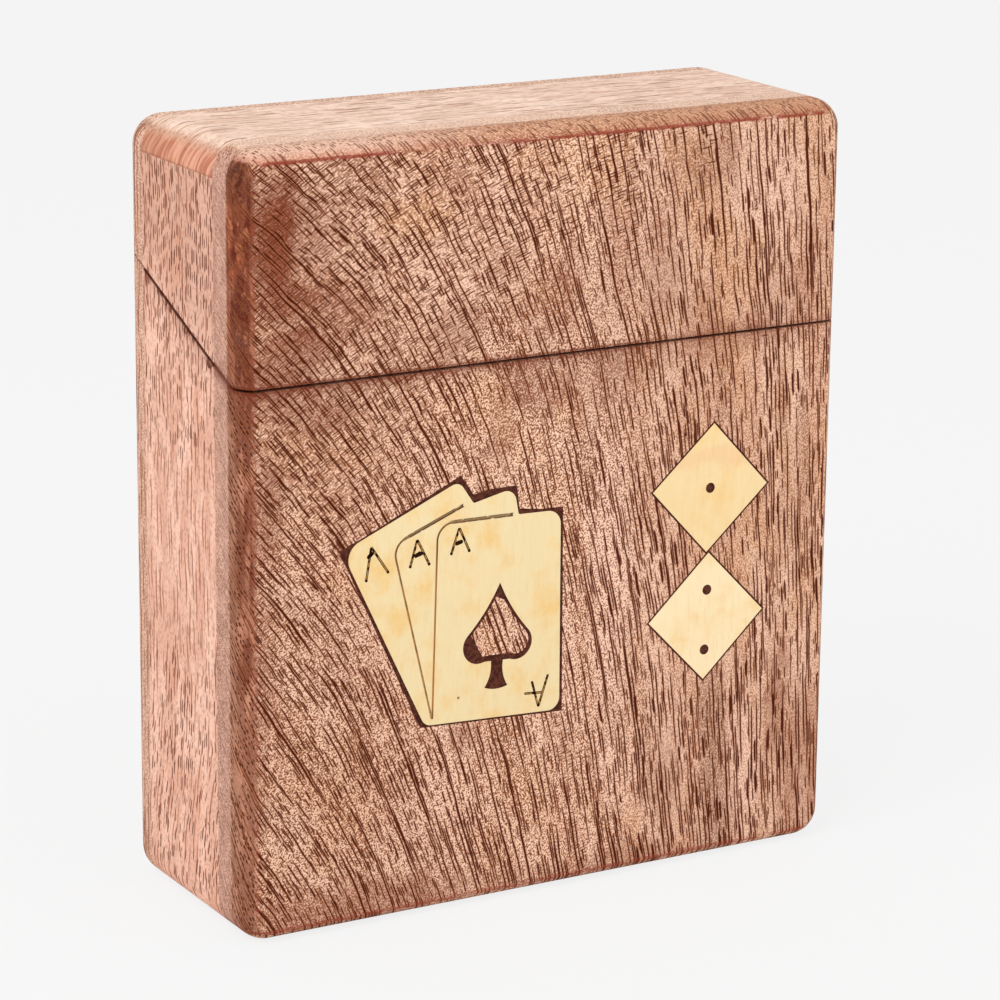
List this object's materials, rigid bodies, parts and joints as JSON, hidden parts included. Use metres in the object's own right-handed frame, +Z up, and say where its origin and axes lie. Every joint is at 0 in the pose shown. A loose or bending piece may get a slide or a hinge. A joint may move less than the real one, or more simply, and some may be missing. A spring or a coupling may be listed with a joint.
{
  "type": "playing card and dice box",
  "caption": "Upright wooden box with a hinged flip-top lid, a well for a deck of playing cards beside a well for small dice, and brass inlays on its front.",
  "frame": {"origin": "middle of the base, on the surface that the box stands on, halfway between the outer faces of the front and the back board", "axes": "+Z up, +Y from the front to the back, +X to the right seen from the front"},
  "size_m": [0.095, 0.0392, 0.11],
  "materials": {
    "front_wood": "oiled open-pored hardwood, satin",
    "back_wood": "oiled open-pored hardwood, satin",
    "side_wood": "oiled hardwood, satin",
    "top_wood": "oiled hardwood, satin",
    "inner_wood": "bare sanded hardwood",
    "brass": "rubbed brass sheet",
    "hinge_brass": "pressed brass, slightly dull",
    "filler": "dark brown resin and wood dust, rubbed flush"
  },
  "bodies": {
    "case": {"case_front_board": "front_wood", "case_back_board": "back_wood", "case_left_board": "side_wood", "case_right_board": "side_wood", "case_bottom_board": "side_wood", "well_partition": "inner_wood", "cards_plate": "brass", "dice_plate_upper": "brass", "dice_plate_lower": "brass", "cards_filler": "filler", "dice_filler": "filler", "dice_pips": "filler", "hinge_left_case_leaf": "hinge_brass", "hinge_left_pin": "hinge_brass", "hinge_right_case_leaf": "hinge_brass", "hinge_right_pin": "hinge_brass", "case_hinge_nails": "hinge_brass"},
    "lid": {"lid_front_board": "front_wood", "lid_back_board": "back_wood", "lid_left_board": "side_wood", "lid_right_board": "side_wood", "lid_top_board": "top_wood", "hinge_left_lid_leaf": "hinge_brass", "hinge_right_lid_leaf": "hinge_brass", "lid_hinge_nails": "hinge_brass"}
  },
  "joints": [
    {"name": "lid_hinge", "type": "hinge", "parent": "case", "child": "lid", "pos_m": [0, 0.01975, 0.09261], "axis": [-1, 0, 0], "range_deg": [0, 180]}
  ]
}
